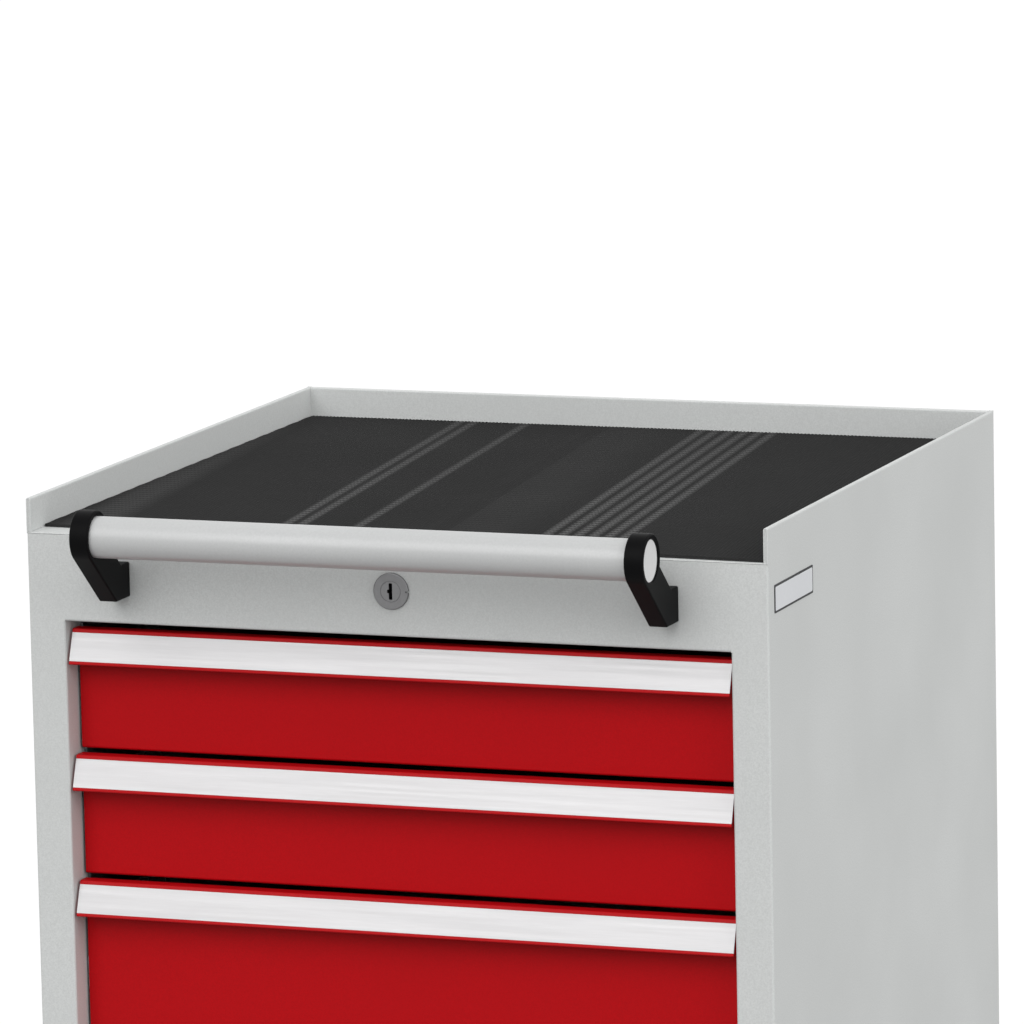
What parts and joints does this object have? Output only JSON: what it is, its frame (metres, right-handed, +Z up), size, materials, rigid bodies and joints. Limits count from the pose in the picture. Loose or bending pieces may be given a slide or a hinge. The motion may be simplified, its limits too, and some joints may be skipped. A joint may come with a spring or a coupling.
{
  "type": "mobile drawer cabinet",
  "caption": "Sheet-metal tool cabinet on castors: rimmed top tray with a ribbed mat, tubular push handle on brackets, central lock and full-extension drawers with grip strips.",
  "frame": {"origin": "on the floor, under the middle of the whole object with its push handle", "axes": "+X to the right as seen from the front, front faces -Y, +Z up"},
  "size_m": [0.6006, 0.6664, 0.9883],
  "materials": {
    "casing_paint": "light grey textured powder coat, satin",
    "drawer_front_paint": "red powder coat, satin",
    "drawer_box_paint": "light grey powder coat, satin",
    "strip_aluminium": "fine brushed, satin anodised",
    "handle_paint": "light grey powder coat, satin",
    "cap_plastic": "light grey moulded plastic",
    "bracket_plastic": "black glass-filled plastic, fine grain",
    "mat_rubber": "black fine-ribbed rubber",
    "name_plate_white": "bare white enamelled plate with a thin dark edge",
    "lock_metal": "satin nickel-plated die casting",
    "zinc_steel": "bright zinc plate",
    "guide_plastic": "dark grey moulded plastic",
    "tyre_rubber": "dark grey solid rubber, matt",
    "wheel_plastic": "dark grey moulded wheel body",
    "pedal_plastic": "black moulded pedal"
  },
  "bodies": {
    "cabinet": {"side_panel_left": "casing_paint", "side_panel_right": "casing_paint", "back_panel": "casing_paint", "top_tray": "casing_paint", "lock_panel": "casing_paint", "base_pan": "casing_paint", "castor_channels": "zinc_steel", "slide_uprights": "zinc_steel", "cabinet_rails": "zinc_steel", "rubber_mat": "mat_rubber", "name_plate": "name_plate_white", "handle_tube": "handle_paint", "handle_end_caps": "cap_plastic", "handle_brackets": "bracket_plastic", "handle_screws": "zinc_steel", "lock_housing": "lock_metal", "lock_nut": "zinc_steel", "lock_bar_guides": "guide_plastic", "swivel_castor_plates": "zinc_steel", "fixed_castor_brackets": "zinc_steel", "fixed_castor_axles": "zinc_steel", "castor_bolts": "zinc_steel"},
    "lock_turning_part": {"lock_cylinder": "lock_metal", "lock_cam": "zinc_steel"},
    "locking_bar": {"lock_bar": "zinc_steel"},
    "drawer_1": {"drawer_1_box": "drawer_box_paint", "drawer_1_front": "drawer_front_paint", "drawer_1_strip": "strip_aluminium"},
    "drawer_1_runners": {"drawer_1_mid_rails": "zinc_steel"},
    "drawer_2": {"drawer_2_box": "drawer_box_paint", "drawer_2_front": "drawer_front_paint", "drawer_2_strip": "strip_aluminium"},
    "drawer_2_runners": {"drawer_2_mid_rails": "zinc_steel"},
    "drawer_3": {"drawer_3_box": "drawer_box_paint", "drawer_3_front": "drawer_front_paint", "drawer_3_strip": "strip_aluminium"},
    "drawer_3_runners": {"drawer_3_mid_rails": "zinc_steel"},
    "drawer_4": {"drawer_4_box": "drawer_box_paint", "drawer_4_front": "drawer_front_paint", "drawer_4_strip": "strip_aluminium"},
    "drawer_4_runners": {"drawer_4_mid_rails": "zinc_steel"},
    "drawer_5": {"drawer_5_box": "drawer_box_paint", "drawer_5_front": "drawer_front_paint", "drawer_5_strip": "strip_aluminium"},
    "drawer_5_runners": {"drawer_5_mid_rails": "zinc_steel"},
    "left_castor_fork": {"left_fork": "zinc_steel", "left_fork_axle": "zinc_steel"},
    "left_front_castor_wheel": {"left_front_tyre": "tyre_rubber", "left_front_wheel": "wheel_plastic"},
    "left_pedal": {"left_brake_pedal": "pedal_plastic"},
    "left_rear_castor_wheel": {"left_rear_tyre": "tyre_rubber", "left_rear_wheel": "wheel_plastic"},
    "right_castor_fork": {"right_fork": "zinc_steel", "right_fork_axle": "zinc_steel"},
    "right_front_castor_wheel": {"right_front_tyre": "tyre_rubber", "right_front_wheel": "wheel_plastic"},
    "right_pedal": {"right_brake_pedal": "pedal_plastic"},
    "right_rear_castor_wheel": {"right_rear_tyre": "tyre_rubber", "right_rear_wheel": "wheel_plastic"}
  },
  "joints": [
    {"name": "lock_turn", "type": "hinge", "parent": "cabinet", "child": "lock_turning_part", "pos_m": [0, -0.25275, 0.925], "axis": [0, 1, 0], "range_deg": [0, 90]},
    {"name": "lock_bar_slide", "type": "slide", "parent": "cabinet", "child": "locking_bar", "axis": [0, 0, -1], "range_m": [0, 0.01273]},
    {"name": "drawer_1_slide", "type": "slide", "parent": "cabinet", "child": "drawer_1", "axis": [0, -1, 0], "range_m": [0, 0.48]},
    {"name": "drawer_1_runner_slide", "type": "slide", "parent": "cabinet", "child": "drawer_1_runners", "axis": [0, -1, 0], "range_m": [0, 0.24]},
    {"name": "drawer_2_slide", "type": "slide", "parent": "cabinet", "child": "drawer_2", "axis": [0, -1, 0], "range_m": [0, 0.48]},
    {"name": "drawer_2_runner_slide", "type": "slide", "parent": "cabinet", "child": "drawer_2_runners", "axis": [0, -1, 0], "range_m": [0, 0.24]},
    {"name": "drawer_3_slide", "type": "slide", "parent": "cabinet", "child": "drawer_3", "axis": [0, -1, 0], "range_m": [0, 0.48]},
    {"name": "drawer_3_runner_slide", "type": "slide", "parent": "cabinet", "child": "drawer_3_runners", "axis": [0, -1, 0], "range_m": [0, 0.24]},
    {"name": "drawer_4_slide", "type": "slide", "parent": "cabinet", "child": "drawer_4", "axis": [0, -1, 0], "range_m": [0, 0.48]},
    {"name": "drawer_4_runner_slide", "type": "slide", "parent": "cabinet", "child": "drawer_4_runners", "axis": [0, -1, 0], "range_m": [0, 0.24]},
    {"name": "drawer_5_slide", "type": "slide", "parent": "cabinet", "child": "drawer_5", "axis": [0, -1, 0], "range_m": [0, 0.48]},
    {"name": "drawer_5_runner_slide", "type": "slide", "parent": "cabinet", "child": "drawer_5_runners", "axis": [0, -1, 0], "range_m": [0, 0.24]},
    {"name": "left_castor_swivel", "type": "hinge", "parent": "cabinet", "child": "left_castor_fork", "pos_m": [-0.222, -0.16775, 0.155], "axis": [0, 0, 1], "continuous": true},
    {"name": "left_front_wheel_spin", "type": "hinge", "parent": "left_castor_fork", "child": "left_front_castor_wheel", "pos_m": [-0.222, -0.12975, 0.0625], "axis": [1, 0, 0], "continuous": true},
    {"name": "left_brake_press", "type": "hinge", "parent": "left_castor_fork", "child": "left_pedal", "pos_m": [-0.222, -0.18375, 0.124], "axis": [1, 0, 0], "range_deg": [0, 8]},
    {"name": "left_rear_wheel_spin", "type": "hinge", "parent": "cabinet", "child": "left_rear_castor_wheel", "pos_m": [-0.222, 0.24825, 0.0625], "axis": [1, 0, 0], "continuous": true},
    {"name": "right_castor_swivel", "type": "hinge", "parent": "cabinet", "child": "right_castor_fork", "pos_m": [0.222, -0.16775, 0.155], "axis": [0, 0, 1], "continuous": true},
    {"name": "right_front_wheel_spin", "type": "hinge", "parent": "right_castor_fork", "child": "right_front_castor_wheel", "pos_m": [0.222, -0.12975, 0.0625], "axis": [1, 0, 0], "continuous": true},
    {"name": "right_brake_press", "type": "hinge", "parent": "right_castor_fork", "child": "right_pedal", "pos_m": [0.222, -0.18375, 0.124], "axis": [1, 0, 0], "range_deg": [0, 8]},
    {"name": "right_rear_wheel_spin", "type": "hinge", "parent": "cabinet", "child": "right_rear_castor_wheel", "pos_m": [0.222, 0.24825, 0.0625], "axis": [1, 0, 0], "continuous": true}
  ],
  "couplings": [
    {"joint": "lock_turn", "follows": "lock_bar_slide", "rad_per_m": 123.4},
    {"joint": "drawer_1_runner_slide", "follows": "drawer_1_slide", "ratio": 0.5},
    {"joint": "drawer_2_runner_slide", "follows": "drawer_2_slide", "ratio": 0.5},
    {"joint": "drawer_3_runner_slide", "follows": "drawer_3_slide", "ratio": 0.5},
    {"joint": "drawer_4_runner_slide", "follows": "drawer_4_slide", "ratio": 0.5},
    {"joint": "drawer_5_runner_slide", "follows": "drawer_5_slide", "ratio": 0.5}
  ]
}
